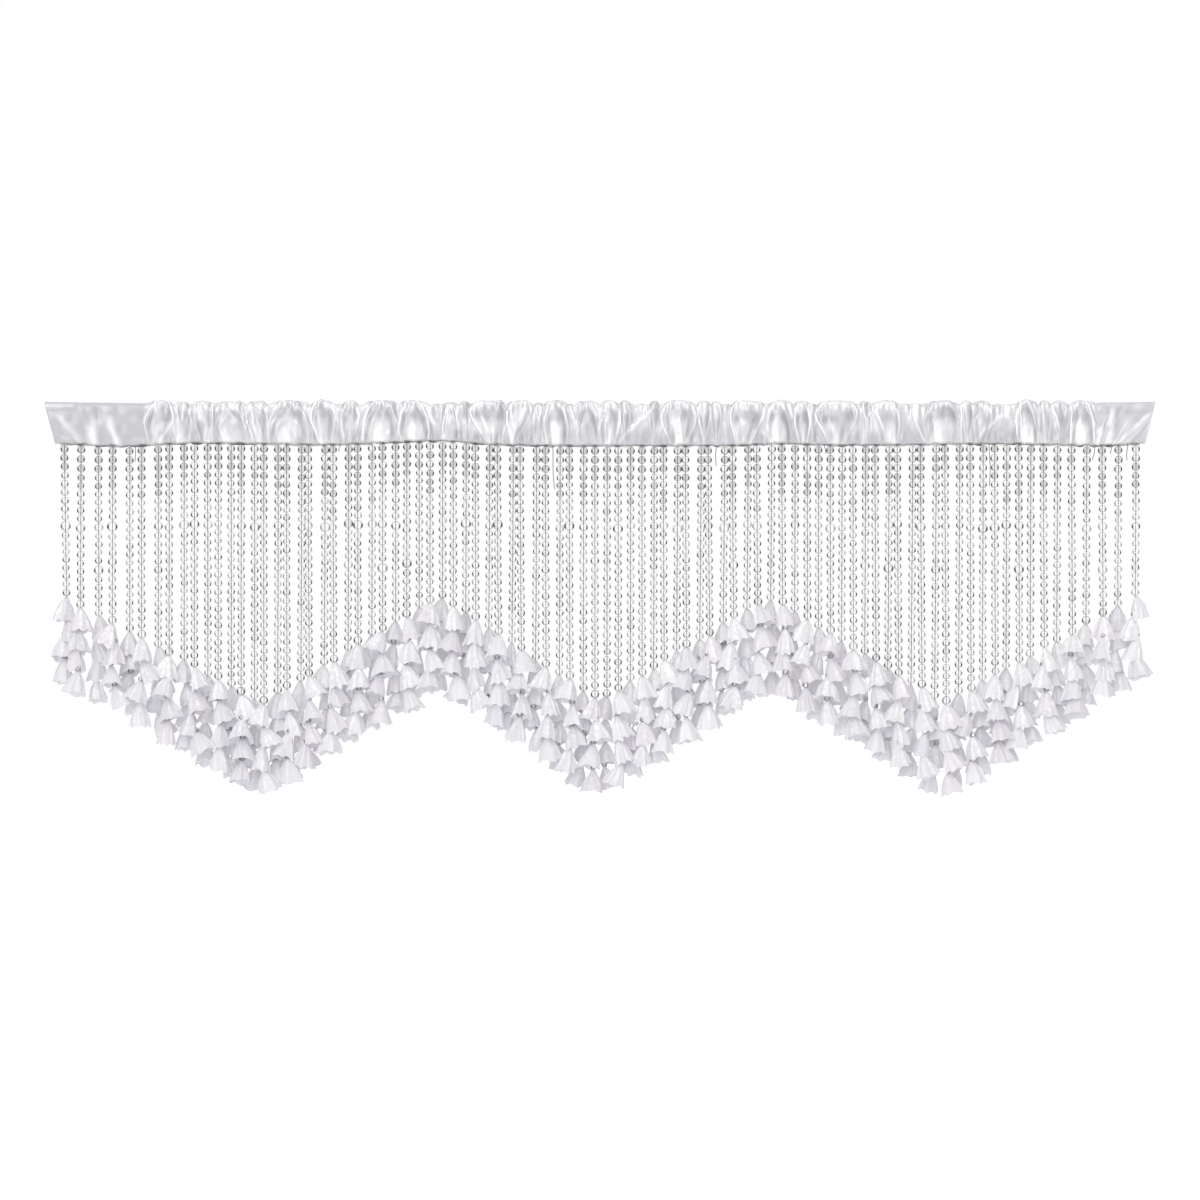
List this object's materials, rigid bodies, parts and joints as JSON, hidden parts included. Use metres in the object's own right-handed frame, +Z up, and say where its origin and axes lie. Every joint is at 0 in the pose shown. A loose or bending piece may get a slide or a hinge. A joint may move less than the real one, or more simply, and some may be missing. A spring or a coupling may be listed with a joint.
{
  "type": "bead curtain valance",
  "caption": "Wide window valance: a gathered satin rod-pocket heading over strings of clear round beads that end in white satin bell flowers along a zigzag lower edge.",
  "frame": {"origin": "middle of the top edge, where the rod's line holds the heading", "axes": "+X along the width to the right, -Y out of the front towards the room, +Z up"},
  "size_m": [1.524, 0.0496, 0.5346],
  "materials": {
    "satin": "white polyester satin with a soft sheen",
    "clear_bead": "clear polished acrylic beads on grey thread"
  },
  "bodies": {
    "root": {"heading_pocket": "satin", "bead_fringe": "clear_bead"}
  },
  "joints": []
}
